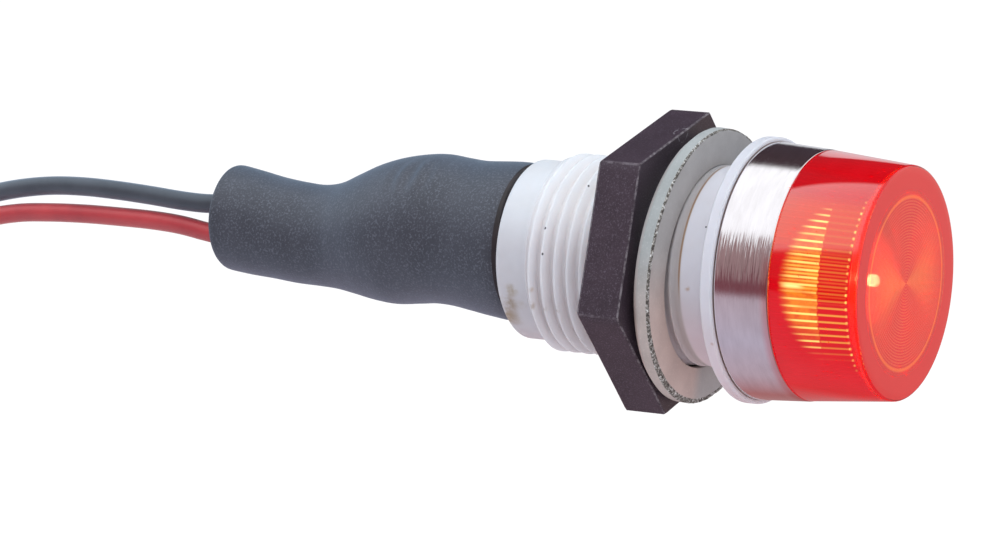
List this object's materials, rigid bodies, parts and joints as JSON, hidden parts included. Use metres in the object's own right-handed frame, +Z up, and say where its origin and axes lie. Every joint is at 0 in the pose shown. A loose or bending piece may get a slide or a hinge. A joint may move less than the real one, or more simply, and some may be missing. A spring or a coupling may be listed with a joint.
{
  "type": "panel pilot light",
  "caption": "Round panel pilot light: red fluted lens in a plated bezel ring, flanged and threaded white body, hexagon nut, sealing washer, slate-grey rear sleeve, red and black flying leads.",
  "frame": {"origin": "On the lamp's axis, at the back face of the flange, in the plane of the panel's front.", "axes": "The axis is horizontal along Y: the lens faces -Y, the thread, sleeve and leads run towards +Y, and +Z is up, which is the way the leads hang down from."},
  "size_m": [0.0208, 0.0878, 0.0882],
  "materials": {
    "body_nylon": "milky satin moulded nylon, slightly stained",
    "chromed_bezel": "bright plating over a turned surface with fine rings",
    "red_lens": "clear red acrylic, polished outside, fluted inside",
    "black_nut": "satin black plastic with worn edges",
    "washer_rubber": "matt pale grey rubber",
    "holder_plastic": "plain moulded plastic",
    "lamp_resin": "clear lamp, lit",
    "tinned_wire": "bright tinned copper",
    "resistor_coat": "glossy lacquer",
    "solder": "bright solder",
    "inner_sleeve_plastic": "thin white sleeving",
    "sleeve_vinyl": "satin slate-grey shrunk sleeve, slightly wrinkled",
    "red_insulation": "satin red insulation",
    "black_insulation": "satin black insulation"
  },
  "bodies": {
    "lamp": {"body": "body_nylon", "bezel_ring": "chromed_bezel", "lens": "red_lens", "lamp_holder": "holder_plastic", "led_lamp": "lamp_resin", "anode_leg": "tinned_wire", "cathode_leg": "tinned_wire", "resistor": "resistor_coat", "resistor_front_wire": "tinned_wire", "resistor_back_wire": "tinned_wire", "anode_solder": "solder", "red_solder": "solder", "black_solder": "solder", "positive_inner_sleeve": "inner_sleeve_plastic", "negative_inner_sleeve": "inner_sleeve_plastic", "outer_sleeve": "sleeve_vinyl", "red_inner_strands": "tinned_wire", "black_inner_strands": "tinned_wire", "red_lead": "red_insulation", "black_lead": "black_insulation", "red_bare_end": "tinned_wire", "black_bare_end": "tinned_wire"},
    "washer": {"sealing_washer": "washer_rubber"},
    "nut": {"mounting_nut": "black_nut"}
  },
  "joints": [
    {"name": "washer_slide", "type": "slide", "parent": "lamp", "child": "washer", "axis": [0, -1, 0], "range_m": [-0.006, 0.002]},
    {"name": "nut_spin", "type": "hinge", "parent": "washer", "child": "nut", "pos_m": [0, 0, 0], "axis": [0, -1, 0], "range_deg": [-2160, 720]}
  ],
  "couplings": [
    {"joint": "nut_spin", "follows": "washer_slide", "rad_per_m": 6283.2}
  ]
}
